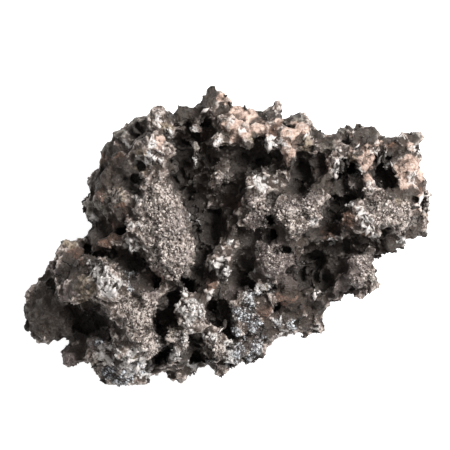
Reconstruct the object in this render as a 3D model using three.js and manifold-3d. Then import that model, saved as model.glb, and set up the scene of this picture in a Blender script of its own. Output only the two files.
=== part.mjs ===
// A hand-sized specimen of descloizite: a knobbly crust that grew as one piece.
//
// It lies on its broken back. X runs along its length, Y across it and Z up, out of
// the crusted face, with the origin on the resting plane under the middle of the crust.
// Sizes are in millimetres.
//
// The crust is built as the mineral built it. A low mass carries lobes, the lobes
// carry knobs, and the knobs carry small crystals with flat faces. All of them are
// joined into one solid, hollows are sunk between them, and the back is cut flat.

import * as THREE from "three";
import { mergeVertices } from "three/addons/utils/BufferGeometryUtils.js";
import Module from "manifold-3d";

// ---- driving dimensions -------------------------------------------------------------

const SEED = 41; // sets every chance detail, so that each build is the same
const ROUGHNESS = 0.1; // how far a lump's corners wander, as a share of its size
const FACETED = 1.06; // a lump's corners stand this far out, so that its faces keep its size
const FINE_LUMP = 8; // lumps wider than this are faceted more finely
const STALK = 1.35; // a knob is this many times deeper than wide, rooted in what bears it
const CRYSTAL = {
  least: 1,
  most: 2,
  slender: 1.5, // length over width
  sunk: 0.3, // how much of it is inside the knob
  roughness: 0.12,
  upward: 0.4, // how much more of them grow upward than down
  lean: 0.4, // how far they lean from the knob's surface
};
const CRYSTALS_PER_KNOB = 0.14;
const MOUTH = 32; // the height of the hollows' widest part
const BACK = { reach: 200, deep: 30 }; // the block that cuts the back off flat

// ---- the lumps ----------------------------------------------------------------------
// Each one is [x, y, z, rx, ry, rz, turn]: its middle, its half sizes and its turn about
// Z in degrees. A half size that isn't given repeats the one before it.

// The mass that the crust grew on, broken off at the back.
const MASS = [
  [-18, 12, 8, 11.5, 15, 17, 10],
  [-23, -12, 8, 13, 12, 16, 10],
  [-41, -17, 6, 8, 8, 9, 0],
  [-25, -27, 6, 9, 8, 12, 0],
  [-8, -12, 7, 13, 13, 14, 30],
  [1, 18, 6, 13, 11, 12, 0],
  [5, 0, 8, 15, 12, 14, 0],
  [18, 14, 7, 15, 11, 15, -10],
  [10, -16, 3, 13, 10, 12, 20],
  [27, 1, 6, 14, 12, 13, 0],
  [39, 11, 7, 9.5, 10, 13, 0],
];

// The crag at the upper left, and the flank that falls away from it.
const UPPER_LEFT = [
  [-16.2, 28.2, 23, 3.6],
  [-24, 24, 19, 3.8],
  [-18.6, 22, 27, 4.2],
  [-15.2, 21, 29, 2.8],
  [-15, 16.2, 28, 3.4],
  [-23.7, 17.7, 22, 4.4],
  [-28.4, 20.4, 16, 3.2],
  [-30, 14.7, 15, 3.8],
  [-25.6, 12.6, 21, 4],
  [-28.6, 8.6, 18, 4.2],
  [-32.2, 8.4, 13, 3.4],
  [-23.4, 7.2, 24, 4.2],
  [-27, 3.6, 19, 3.4],
];

// The broad ridge at the left of the face.
const LEFT_RIDGE = [
  [-16.8, 11.5, 27, 4.4],
  [-13.6, 6.6, 27, 6.2],
  [-10.2, 10.4, 22, 4],
  [-12.8, 0.8, 28, 6.4],
  [-18.2, -0.4, 26, 4.4],
  [-11.8, -4.6, 28, 5.4],
  [-8.6, -0.5, 25, 3.8],
  [-22.4, -0.2, 25, 3],
  [-26.4, -1.7, 21, 4.4, 2.3, 3.4, -5],
  [-31.2, -0.3, 15, 3.4, 2.6, 3.2],
];

// The lobe at the lower left, with its pale boss and the round end beside it.
const LOWER_LEFT = [
  [-37.3, -4.4, 14, 3.8],
  [-41.6, -8.2, 13, 3],
  [-37.8, -9, 18, 3.6],
  [-33.6, -6.8, 22, 3.6],
  [-28.9, -8.4, 26, 3.6],
  [-28.2, -12.6, 28, 4.4],
  [-32.6, -12.4, 25, 4],
  [-27, -17.6, 24, 3.6],
  [-45, -13.4, 10, 3.4],
  [-45.2, -18.8, 10, 5.4],
  [-44.2, -22.4, 8, 4],
  [-39.9, -20, 12, 4.2],
];

// The ridge that comes down from the boss, and the foot of the specimen.
const LOWER_RIDGE = [
  [-18.7, -16, 25, 4.4],
  [-22.2, -19.6, 25, 4.2],
  [-20.2, -24.2, 24, 4.4],
  [-24.4, -27.8, 21, 4],
  [-38.2, -30, 7, 2.7],
  [-34.6, -28, 7, 4, 2.8, 3.4, 15],
  [-31, -29, 14, 3.6],
  [-28.4, -33, 12, 3.8],
  [-23.6, -33.4, 13, 4],
  [-20.4, -34.2, 12, 2.8],
];

// Stalks and props at the bottom, with open hollows between them.
const STALKS = [
  [-15.4, -32.5, 9, 4, 2.1, 3, -10],
  [-9.6, -29, 15, 2.4, 6.4, 5, -20],
  [-11.3, -34, 10, 2.4],
  [-11.4, -23.8, 20, 3.8, 2, 3, 5],
  [-3, -27.6, 16, 3, 4.8, 4.6, 25],
  [1.4, -28.6, 13, 3.4],
  [-0.8, -32, 10, 2.6],
  [-6, -30.4, 8, 3],
];

// The angular lump in the lower middle, and the cluster above it.
const MIDDLE = [
  [-7.5, -17.2, 25, 4],
  [-5.4, -21.4, 23, 3],
  [-3.6, -14.4, 24, 2.8],
  [-1.6, -3, 22, 3],
  [2.4, -3.4, 23, 2.6],
  [0, -7.6, 24, 3],
];

// Drusy lobes across the middle of the face.
const FACE = [
  [-1, 17, 18, 3.6],
  [8, 14.2, 25, 3.8],
  [14, 13.4, 23, 3.4],
  [7.4, 8.2, 26, 4.2],
  [10.4, 4.6, 26, 4],
  [16.2, 7, 28, 4.4],
  [21, 7.9, 29, 4],
  [17.6, 2.6, 28, 4],
  [25, 12, 24, 3.8],
  [10.8, -4.2, 24, 4.6],
  [16.2, -3.8, 24, 3.8],
  [12.6, -9.2, 21, 3.2],
];

// The row of knobs along the top, which stands out over the hollows below it.
const RIM = [
  [-11.2, 29, 17, 2.8],
  [-7.6, 30, 17, 2.5],
  [-4.6, 33, 17, 2],
  [-3, 35.4, 18, 1.7],
  [-1.4, 32.8, 19, 2.8],
  [-2.8, 29.4, 21, 3],
  [2.6, 29.6, 21, 2.8],
  [6.6, 29, 21, 3],
  [1, 26.4, 25, 3.4],
  [4.8, 24.6, 26, 2.8],
  [-1.7, 23.6, 26, 2.2],
  [12.5, 31.2, 20, 2, 2.6, 2],
  [12.4, 28, 23, 3],
  [12, 24, 27, 3.2],
  [18.4, 27.6, 21, 2.8],
  [19.2, 23.4, 24, 3.2],
  [16.5, 19.5, 24, 2, 3, 2.4],
  [25.4, 22.4, 21, 3.4],
  [27, 17.6, 23, 2.2, 4, 2.8, -8],
  [32.4, 24, 21, 3],
  [30.2, 26.2, 18, 1.7],
  [36.4, 24.8, 19, 2.6],
  [33, 20.4, 24, 3.6],
];

// The right end: a smooth wall round a deep socket, over a drusy shoulder.
const RIGHT_END = [
  [40.6, 22.8, 20, 2.8],
  [46.2, 22.8, 18, 3],
  [46, 16, 19, 3, 4.2, 3.8],
  [49.2, 11.6, 14, 2, 3, 3],
  [49.4, 5.6, 14, 1.9, 3.4, 3],
  [46.4, 10.2, 20, 2.8],
  [36, 15.4, 23, 2, 4, 3.2],
  [41, 9, 25, 3.8],
  [45.4, 5.4, 22, 3.6],
  [39.6, 4.6, 25, 3.8],
  [47.6, 1, 14, 2.2],
  [43.6, 1, 18, 3],
];

// The boss at the right of the face and the shoulder under it.
const RIGHT_FACE = [
  [33.6, 3.6, 26, 4.2],
  [30, 4.4, 24, 3],
  [21.4, 0, 22, 3, 2.2, 2.8],
  [26.4, -0.4, 20, 3.4, 2, 2.8],
  [40.6, -1.6, 15, 3],
  [33.6, -5, 20, 3.4],
  [32.2, -9.8, 20, 3.2],
  [35.6, -11.4, 16, 2.7],
  [28, -12.4, 16, 3, 2.4, 3],
  [24, -14.4, 14, 3],
];

// The slope at the lower right, which glitters with small pale crystals.
const GLITTER = [
  [6, -15.4, 18, 3.4],
  [9.4, -18.8, 16, 3.4],
  [4.4, -21.4, 16, 3.4],
  [8.4, -24.2, 13, 3.4],
  [4.4, -27, 12, 3],
  [13.2, -21.6, 12, 3.4],
  [15.2, -14, 17, 3.6],
  [19.8, -18, 13, 3.4],
  [18.2, -22, 9, 2.9],
  [22.4, -22, 8, 2.4],
];

// Lumps low on the sides, under the knobs of the outline.
const SIDES = [
  [-29, 8, 8, 5, 7, 7],
  [-13, 27, 9, 6, 4, 10],
  [0, 28, 10, 8, 5, 13.5],
  [12, 25, 10, 8, 6, 12],
  [26, 21, 10, 8, 5, 12],
  [39, 20, 9, 7, 5, 12],
  [46, 9, 8, 5, 9, 10],
  [42, 1, 8, 6, 4, 8],
  [28, -9, 7, 9, 6, 10],
  [2, -26, 6, 7, 5, 8],
  [-13, -27, 5, 9, 6, 8],
  [-37, -7, 6, 5, 5, 8],
  [-34, -22.5, 3, 6, 4.5, 8],
];

// ---- the hollows --------------------------------------------------------------------
// Each one is [x, y, rx, ry, floor, turn]: its middle, its half sizes at the mouth, the
// height of its floor and its turn about Z in degrees.

const HOLLOWS = [
  [7.4, 19.6, 5.8, 2.6, 13, 0],
  [19.6, 16.2, 3.4, 4.4, 13, 0],
  [-8.6, 18.4, 3.4, 7, 12, 0],
  [-3.2, 2, 3.2, 6.8, 10, 0],
  [-0.7, 8.8, 5, 3.4, 14, 0],
  [22.3, -6.6, 4.2, 5.6, 9, 0],
  [25.7, 4.9, 3, 3, 14, 0],
  [39.2, 15.2, 3.4, 5, 12, 0],
  [6.1, -6.4, 2.4, 3.6, 14, 0],
  [-0.2, -18.6, 2.6, 5.6, 10, 0],
  [-13, -17.6, 2.2, 6, 10, -26],
  [-31.1, -21.8, 6, 3.6, 7, 0],
  [-23.4, -7, 6, 2.2, 16, 0],
  [-13.2, -28.4, 3.2, 2.4, 5, 0],
  [-7.8, -28, 2.8, 3.8, 4, 0],
  [29.6, 12.5, 4.6, 3, 16, 0],
];

// ---- shapes -------------------------------------------------------------------------

const wasm = await Module();
wasm.setup();

// A repeatable source of numbers from 0 to 1.
function chance(seed) {
  let state = seed >>> 0;
  return () => {
    state = (state + 0x6d2b79f5) >>> 0;
    let t = state;
    t = Math.imul(t ^ (t >>> 15), t | 1);
    t ^= t + Math.imul(t ^ (t >>> 7), t | 61);
    return ((t ^ (t >>> 14)) >>> 0) / 4294967296;
  };
}

const random = chance(SEED);

function anyTurn() {
  return 2 * Math.PI * random();
}

function wander(reach) {
  const step = new THREE.Vector3(random() - 0.5, random() - 0.5, random() - 0.5);
  return step.multiplyScalar(2 * reach);
}

// The same shape with faces that share their corners, each corner moved a little.
function roughened(geometry, reach) {
  geometry.deleteAttribute("normal");
  geometry.deleteAttribute("uv");
  const welded = mergeVertices(geometry, 1e-4);
  const corners = welded.getAttribute("position");
  const corner = new THREE.Vector3();
  for (let i = 0; i < corners.count; i++) {
    corner.fromBufferAttribute(corners, i).add(wander(reach));
    corners.setXYZ(i, corner.x, corner.y, corner.z);
  }
  return welded;
}

function toSolid(geometry) {
  return new wasm.Manifold(
    new wasm.Mesh({
      numProp: 3,
      vertProperties: new Float32Array(geometry.getAttribute("position").array),
      triVerts: new Uint32Array(geometry.index.array),
    }),
  );
}

function toGeometry(solid) {
  const mesh = solid.getMesh();
  const corners = new Float32Array(mesh.numVert * 3);
  for (let i = 0; i < mesh.numVert; i++) {
    const from = i * mesh.numProp;
    corners.set(mesh.vertProperties.subarray(from, from + 3), i * 3);
  }
  const geometry = new THREE.BufferGeometry();
  geometry.setAttribute("position", new THREE.BufferAttribute(corners, 3));
  geometry.setIndex(new THREE.BufferAttribute(mesh.triVerts, 1));
  geometry.computeVertexNormals();
  return geometry;
}

// One lump of the lists, as a rough faceted ball, drawn down into what bears it.
function lump([x, y, z, rx, ry = rx, rz = ry, turn = 0], stalk = 1) {
  const detail = (rx + ry) / 2 > FINE_LUMP ? 1 : 0;
  const ball = roughened(new THREE.IcosahedronGeometry(FACETED, detail), ROUGHNESS);
  const spin = new THREE.Euler(anyTurn(), anyTurn(), anyTurn());
  const place = new THREE.Matrix4()
    .makeTranslation(x, y, z + rz * (1 - stalk))
    .multiply(new THREE.Matrix4().makeRotationZ(THREE.MathUtils.degToRad(turn)))
    .multiply(new THREE.Matrix4().makeScale(rx, ry, rz * stalk))
    .multiply(new THREE.Matrix4().makeRotationFromEuler(spin));
  return toSolid(ball.applyMatrix4(place));
}

// A stubby double pyramid half sunk in a knob, pointing out of it.
function crystal([x, y, z, rx, ry = rx, rz = ry]) {
  const out = new THREE.Vector3(0, 0, CRYSTAL.upward).add(wander(1)).normalize();
  const size = Math.min(rx, THREE.MathUtils.lerp(CRYSTAL.least, CRYSTAL.most, random()));
  const gem = roughened(new THREE.OctahedronGeometry(size), size * CRYSTAL.roughness);
  const lean = new THREE.Quaternion().setFromUnitVectors(
    new THREE.Vector3(0, 0, 1),
    out.clone().add(wander(CRYSTAL.lean)).normalize(),
  );
  gem.scale(1, 1, CRYSTAL.slender);
  gem.applyQuaternion(lean);
  const sunk = size * CRYSTAL.sunk;
  gem.translate(
    x + out.x * (rx - sunk),
    y + out.y * (ry - sunk),
    z + out.z * (rz - sunk),
  );
  return toSolid(gem);
}

// The room of one hollow, open above the crust.
function hollow([x, y, rx, ry, floor, turn]) {
  return lump([x, y, MOUTH, rx, ry, MOUTH - floor, turn]);
}

function flatBlock(bottom, top) {
  const block = new THREE.BoxGeometry(BACK.reach, BACK.reach, top - bottom);
  return toSolid(roughened(block.translate(0, 0, (top + bottom) / 2), 0));
}

// ---- the specimen -------------------------------------------------------------------

function specimen() {
  const knobs = [
    ...UPPER_LEFT,
    ...LEFT_RIDGE,
    ...LOWER_LEFT,
    ...LOWER_RIDGE,
    ...STALKS,
    ...MIDDLE,
    ...FACE,
    ...RIM,
    ...RIGHT_END,
    ...RIGHT_FACE,
    ...GLITTER,
  ];
  const { union } = wasm.Manifold;
  const mass = union([...MASS, ...SIDES].map((size) => lump(size)));
  const hollows = union(HOLLOWS.map(hollow));
  const knobbly = union(knobs.map((size) => lump(size, STALK)));
  const bearers = knobs.filter(() => random() < CRYSTALS_PER_KNOB);
  const crystals = union(bearers.map(crystal));
  const grown = union([mass, knobbly, crystals]).subtract(hollows);
  const cut = grown.subtract(flatBlock(-BACK.deep, 0));
  // Pockets closed in between the lumps are filled: only the outer body is kept.
  const bodies = cut.decompose().sort((a, b) => b.volume() - a.volume());
  return bodies[0];
}

const crustMaterial = new THREE.MeshStandardMaterial({
  color: 0x5c534c,
  roughness: 0.6,
  metalness: 0,
});

const crust = toGeometry(specimen());
crust.computeBoundingBox();
const middle = crust.boundingBox.getCenter(new THREE.Vector3());
crust.translate(-middle.x, -middle.y, 0);

const group = new THREE.Group();
const descloizite = new THREE.Mesh(crust, crustMaterial);
descloizite.name = "descloizite";
group.add(descloizite);

export default group;
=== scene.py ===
# %% [markdown]
# # A hand-sized specimen of descloizite
# Descloizite grows as a crust of tiny brown crystals on broken rock. This lesson dresses
# the plain solid of one specimen: first its knobbly body, then the crystals that coat it,
# then its finishes, and last the light and the camera. Sizes are thought of in
# millimetres, and Blender works in metres.

# %% Load the frame
import math

import bpy
import numpy as np
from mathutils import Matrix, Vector, noise
from mathutils.bvhtree import BVHTree


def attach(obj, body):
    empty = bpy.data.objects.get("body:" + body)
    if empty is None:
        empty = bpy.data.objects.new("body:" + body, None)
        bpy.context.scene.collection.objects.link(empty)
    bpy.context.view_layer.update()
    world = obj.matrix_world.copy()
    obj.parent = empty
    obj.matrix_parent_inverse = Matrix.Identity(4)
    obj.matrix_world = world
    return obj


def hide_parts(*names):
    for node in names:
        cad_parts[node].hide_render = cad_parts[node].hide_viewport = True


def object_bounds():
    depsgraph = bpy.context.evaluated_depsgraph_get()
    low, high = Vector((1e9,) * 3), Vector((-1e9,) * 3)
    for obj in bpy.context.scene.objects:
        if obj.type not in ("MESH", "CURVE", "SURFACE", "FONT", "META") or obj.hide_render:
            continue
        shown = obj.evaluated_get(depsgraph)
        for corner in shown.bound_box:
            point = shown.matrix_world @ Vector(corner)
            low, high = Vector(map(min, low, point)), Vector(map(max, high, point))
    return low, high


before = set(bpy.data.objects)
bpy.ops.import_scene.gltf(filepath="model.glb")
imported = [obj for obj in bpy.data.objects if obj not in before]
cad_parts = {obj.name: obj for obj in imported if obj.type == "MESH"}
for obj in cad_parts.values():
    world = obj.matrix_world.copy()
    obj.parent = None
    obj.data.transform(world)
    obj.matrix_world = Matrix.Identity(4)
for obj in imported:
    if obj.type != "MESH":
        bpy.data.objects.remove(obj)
MM = 0.001
cad_low, cad_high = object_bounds()
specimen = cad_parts["descloizite"]
print("the solid measures", [round(side / MM, 1) for side in cad_high - cad_low], "mm")

# %% [markdown]
# ## Two helpers for working as by hand
# Operators act on whatever is selected, so each one starts from a clean selection. A
# modifier is added, set and applied at once, because the next step has to see its result.

# %% Selection and modifiers
def pick(thing):
    bpy.ops.object.select_all(action="DESELECT")
    thing.select_set(True)
    bpy.context.view_layer.objects.active = thing


def shaped(thing, kind, **settings):
    pick(thing)
    bpy.ops.object.modifier_add(type=kind)
    modifier = thing.modifiers[-1]
    for name, value in settings.items():
        setattr(modifier, name, value)
    bpy.ops.object.modifier_apply(modifier=modifier.name)


# %% [markdown]
# A few steps work on every point of the skin at once. Reading all points into one array,
# and writing them back, is far quicker than a loop over them.

# %% Points in and out
def threes(items, key, kind):
    found = np.empty(len(items) * 3, kind)
    items.foreach_get(key, found)
    return found.reshape(-1, 3)


def spots_of(mesh):
    return threes(mesh.vertices, "co", np.float32) / MM


def facing_of(mesh):
    return threes(mesh.vertex_normals, "vector", np.float32)


def corners_of(mesh):
    return threes(mesh.polygons, "vertices", np.int32)


def put_spots(mesh, spots):
    mesh.vertices.foreach_set("co", (spots * MM).astype(np.float32).ravel())
    mesh.update()


def not_below(spots, lowest):
    spots[:, 2] = np.maximum(spots[:, 2], lowest)
    return spots


def lengths(vectors):
    return np.linalg.norm(vectors, axis=1)[:, None]


def as_object(name, mesh):
    thing = bpy.data.objects.new(name, mesh)
    bpy.context.scene.collection.objects.link(thing)
    return thing


# %% [markdown]
# ## The lobes
# The plain solid has the mass and its main knobs, with flat facets. The real crust is
# knobbier than that, so finer lobes are heaped on it. Each one is
# (x, y, z, rx, ry, rz, turn) in millimetres and degrees: its middle, its half sizes and
# its turn about Z. A half size that isn't given repeats the one before it. Lists say
# where each lobe sits better than chance could, because each knob of a specimen is its own.

# %% Where the lobes sit
# The crag at the upper left, and the flank that falls away from it.
UPPER_LEFT = [
    (-16.5, 30.2, 22, 2), (-16.2, 27.7, 24, 3.8), (-14.2, 26, 25, 2.6), (-18.7, 27, 22, 3),
    (-21.2, 26.8, 19, 2.8), (-23.4, 25.4, 17, 2.6), (-24.5, 26.9, 17, 1.4), (-25.6, 23.8, 16, 1.6),
    (-24.2, 22, 21, 3.6), (-27.2, 20.7, 17, 2.5), (-28.6, 18.2, 16, 2.6), (-18.7, 22.7, 28, 3.2),
    (-16.2, 21.5, 29, 3), (-18.2, 19, 29.5, 2.5), (-20.2, 19.6, 27.5, 1.7), (-14, 21, 27, 1.9),
    (-15, 16.2, 28, 3.4), (-18.7, 15.2, 28, 2.7), (-23.7, 17.7, 22, 4.6), (-26.2, 13.8, 20, 4.6),
    (-29.6, 14.4, 15, 3.3), (-31.2, 11, 14, 2.8), (-28.2, 9, 19, 4.6), (-31.6, 7.3, 14, 3.4),
    (-32.2, 4.8, 13, 2.5), (-24.2, 7.7, 23, 4.6), (-26.7, 3.5, 19, 3.2),
    (-21, 12.5, 27, 1.2, 2, 1.4, 20), (-9.5, 28, 11, 4), (-31, 1.2, 8, 3), (-25, 1, 14, 3.6),
    (-33.5, -2.8, 9, 3.6), (-30, 3.4, 13, 2.6),
]

# The broad ridge at the left of the face.
LEFT_RIDGE = [
    (-17, 11.5, 27, 4.4), (-16, 7, 27, 5), (-18.7, 6.5, 27, 4.2), (-11.6, 7.7, 19, 3.8),
    (-13.8, 1.5, 28, 5.3), (-17.5, 0.2, 26, 5), (-12.2, -4, 28, 5.7), (-15, -5.5, 27, 4.4),
    (-12, -8.6, 26, 4.2), (-14.4, -12.6, 25, 2.4), (-10, -0.8, 26, 3.4), (-5.5, 3.5, 21, 2),
    (-8, 3.8, 23, 1.7), (-21.2, 2, 27, 2.8), (-23, 3.2, 27, 1.6), (-22.5, -2.2, 25, 2.2),
    (-20, -3.5, 24, 2.4), (-26.2, -1.7, 21, 5, 2.3, 3.4, -5), (-31.2, -0.5, 16, 3.4, 2.4, 3),
    (-32, 1.6, 13, 1.8), (-31.6, 4.2, 16, 2), (-29.2, -3, 18, 4, 2, 3, -15),
]

# The lobe at the lower left, with its pale boss and the round end beside it.
LOWER_LEFT = [
    (-37.5, -4.7, 15, 4), (-38.7, -2.6, 12, 1.8), (-35.5, -1.9, 13, 2.2), (-40.4, -5.4, 12, 1.4),
    (-40.9, -8.9, 13, 2.4), (-38.7, -8.5, 18, 3.6), (-34.2, -7.2, 22, 3.4), (-29.5, -8, 26, 3.4),
    (-28.2, -12.2, 28, 4.4), (-32, -12.2, 25, 4), (-35.7, -13.5, 22, 3.8), (-39.2, -13.5, 20, 2.8),
    (-39.7, -15.2, 18, 2), (-35.2, -17, 20, 1.2, 2.4, 1.6, 5), (-24.7, -13.5, 26, 2.8),
    (-23, -9, 18, 2.2), (-28.2, -16, 25, 2.8), (-26.7, -18.5, 24, 3), (-30.5, -19.7, 20, 2.4),
    (-32.5, -20, 18, 1.3), (-28.7, -21.5, 19, 2.4), (-44.4, -18.5, 11, 5.2), (-43.7, -22, 10, 4.3),
    (-41.7, -16, 13, 4.4), (-45, -13.6, 11, 3.2), (-46.6, -15, 10, 2.4), (-47.6, -19.4, 10, 2),
    (-46.9, -22, 9, 2.2), (-44.5, -11.2, 12, 2.2), (-45.4, -23.2, 8, 2), (-40.6, -24.6, 9, 1.9),
    (-39.7, -21, 11, 4.2), (-38.4, -23.9, 9, 2), (-36.2, -25.4, 8, 2.3),
]

# The ridge that comes down from the boss, and the foot of the specimen.
LOWER_RIDGE = [
    (-19.2, -16, 25, 4.3), (-21.7, -16, 25, 3.2), (-21.8, -20.5, 25, 4.2), (-18.2, -18.7, 23, 2.5),
    (-20.7, -24.7, 24, 4.5), (-17.3, -26.6, 19.5, 2.6), (-24.2, -28.5, 22, 3.6),
    (-20.8, -30, 21.5, 2.9), (-25, -23.5, 21, 3), (-37.9, -29.8, 9, 2.4), (-34.6, -29.8, 9, 1.9),
    (-35.4, -28.6, 9, 3, 2, 2.4, 20), (-31.2, -29.7, 16, 3.1), (-31.7, -26.5, 15, 2.5),
    (-28.7, -27.2, 18, 2.6), (-27.5, -33.2, 13, 4), (-23.7, -33.8, 14, 3.7),
    (-20.5, -34.4, 14, 2.7), (-30.7, -32.7, 12, 2.7), (-25.7, -34.8, 12, 2.6),
    (-26.2, -31, 18, 2.6), (-23.2, -31.4, 19, 2.6), (-29.4, -29.2, 18, 2.2),
]

# Stalks and props at the bottom, with open hollows between them.
STALKS = [
    (-14.6, -32, 14, 4, 1.6, 2.4, 15), (-8.8, -22.6, 24, 1.9), (-10, -25.4, 23.4, 1.9, 2.2),
    (-11.3, -28.2, 22.2, 1.9, 2.2), (-12.7, -30.8, 19.6, 2), (-11.2, -34.2, 11, 2.2),
    (-12, -23.6, 22.4, 3.4, 1.5, 2, 15), (-3.4, -25.6, 19.6, 1.8, 6, 3, 27),
    (-2.5, -28.5, 16, 3.3), (1.2, -28.4, 15, 3.1), (-0.8, -32.2, 11, 2.3), (-6, -30, 10, 2.3),
    (-8.7, -27.2, 12, 3), (0, -25.6, 19, 1.9), (-8.4, -32.3, 10, 2.3), (-13.6, -25.2, 22, 2),
    (-15.4, -26.4, 20.5, 1.8), (-0.8, -22.6, 21, 0.9, 2.8, 1.4, -38), (-3.2, -24.4, 21, 2.4),
]

# The angular lump in the lower middle, and the cluster above it.
MIDDLE = [
    (-7.5, -17.2, 26, 3.8), (-9.8, -17.8, 27.2, 2.5), (-9.4, -20.4, 26, 2.3),
    (-10, -14.4, 26, 1.5, 1.9, 1.6, 40), (-14.4, -15.6, 22, 1.6), (-6.2, -20.5, 25, 3),
    (-3.2, -14, 26, 2.4), (-5, -16, 24, 2.6), (-5, -12.2, 20, 2.7), (0.5, -3, 23, 2.2),
    (2.2, -3, 22.5, 1.6), (-3, -6, 24, 2), (0, -6.9, 25, 2.7), (-0.7, -10, 25, 2.2),
    (1.8, -4.7, 23, 1.8), (-4.7, -2.5, 18, 1), (-1.1, -7.4, 26.4, 2),
]

# Drusy lobes across the middle of the face.
FACE = [
    (-0.7, 16.9, 20, 2.8), (-2, 13.2, 22, 2.6), (8, 14, 25, 3.5), (9.2, 11.5, 26, 2.8),
    (6.2, 15.4, 24, 1.6), (14.2, 14, 23, 3), (13.7, 11, 24, 2.5), (7.5, 7.7, 26, 4.3),
    (10.7, 5.2, 26, 3.7), (6.2, 3.5, 25, 3), (3.7, 6, 23, 2.5), (2.5, 2, 22, 2.1),
    (16.2, 6.5, 28, 4.5), (20.7, 7.1, 29, 4), (17.5, 2.7, 28, 3.8), (21.7, 4.5, 28, 2.5),
    (22.6, 8.8, 26, 2.7), (25.5, 13.2, 20, 2.8), (15, -0.2, 25, 2.5), (14.4, 0.6, 25, 2.3),
    (17.8, -1.2, 23, 2), (14.5, 3, 28, 1.4), (11.9, -5.5, 24, 4.4), (15.6, -4.7, 24, 3.5),
    (18.2, -2.8, 23, 1.6), (12.5, -8.5, 22, 3), (10, -11, 21, 1.9), (11.6, -15.2, 18.5, 2.2),
    (17.4, -8, 20, 1.7), (7, -8.8, 20, 1.6), (8.1, -13, 20.5, 1.8),
]

# The row of knobs along the top, which stands out over the hollows below it.
RIM = [
    (-11.2, 29.4, 18, 2.5), (-8, 29.6, 18, 2.1), (-6, 32, 18, 1.6), (-4.6, 33.9, 18, 1.6),
    (-7.2, 20.2, 24, 1.5, 3.6, 1.9), (-3.2, 36, 18, 1.5), (-1.7, 33.6, 19, 2.5),
    (0.7, 33, 20, 2.3), (-3.2, 30.5, 21, 2.7), (2.5, 29.4, 21, 2.8), (5.2, 28.6, 22, 2.6),
    (8, 28.3, 21, 2.4), (8.2, 29.4, 20, 1.2), (0.7, 27.2, 26, 2.7), (3.7, 26, 26, 2.7),
    (5.2, 23.4, 26, 2.1), (1.7, 23.7, 25, 2.3), (-1.7, 23.3, 27, 2), (-6.8, 26.6, 21, 1.7),
    (-7, 28.4, 18, 2.4), (7.5, 26, 25, 2.2), (9.7, 29.9, 19, 1.5), (12.5, 31, 20, 1.9, 2.7, 2),
    (12.5, 28.2, 23, 2.9), (11.2, 26.2, 25, 2.5), (11, 23.4, 28, 2.1), (14.5, 24.7, 27, 2.6),
    (14.6, 21.7, 27, 2.1), (16.7, 28.2, 22, 2.3), (18.5, 28.7, 21, 2.1), (18.7, 25.7, 24, 3.1),
    (20.7, 27, 20, 1.6), (20, 22.7, 25, 2.7), (16.5, 19.5, 25, 1.7, 3, 2), (15.6, 17.7, 26.5, 1.7),
    (17, 23.4, 25, 1.6), (22.7, 24.2, 20, 2.2), (22.5, 21.7, 22, 2.3), (26.4, 23.5, 20, 2.2),
    (27, 19, 23, 2, 4.2, 2.4, -8), (28.2, 16.8, 25.5, 1.7), (27.7, 25.3, 18, 1),
    (30, 26.1, 19, 1.6), (32.5, 23.5, 22, 2.5), (33, 26.2, 18, 1.3), (36, 24.5, 20, 2.3),
    (35.7, 22.2, 25, 2.9), (32.5, 20.2, 25, 3), (36, 19.8, 24.5, 1.8), (34, 17, 24.5, 1.9),
    (30.5, 21.2, 23, 2.1),
]

# The right end: a smooth wall round a deep socket, over a drusy shoulder.
RIGHT_END = [
    (39.2, 22.5, 21, 2.3), (42.5, 23.2, 19, 2.4), (46.7, 23.8, 18, 2), (44.5, 23.7, 18, 1.7),
    (45.7, 21, 20, 2.5), (47, 20.2, 21, 1.4), (46, 16.4, 20, 2.8, 4.2, 3.4), (47.3, 12.7, 18, 2.7),
    (49.8, 9.7, 15, 1.5, 3.2, 2.4), (49.4, 5.2, 15, 1.7, 3.2, 2.6), (46.7, 9.5, 21, 2.3),
    (43.7, 9.5, 24, 2.6), (34.5, 15.2, 23, 1.6, 4.2, 3), (36.2, 11.8, 26, 2.5), (35, 9.6, 25, 2),
    (40.7, 8.2, 25, 3.7), (45, 5.7, 23, 3.5), (38.2, 5.2, 25, 3.3), (42.5, 4, 23, 3.2),
    (47.6, 2, 15, 2.1), (48.1, 0.6, 13, 1.5), (44.8, 1.6, 16, 2.3),
    (39.5, 20, 23, 0.9, 2.2, 2, -25), (43.6, 19.4, 20, 2.4), (44.6, 14.6, 23, 2.6, 4, 2.6),
    (41.6, 17.8, 20, 1.2, 2.4, 2.6, 15), (39.6, 16.8, 19.5, 1.4, 1.8, 2),
]

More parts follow.
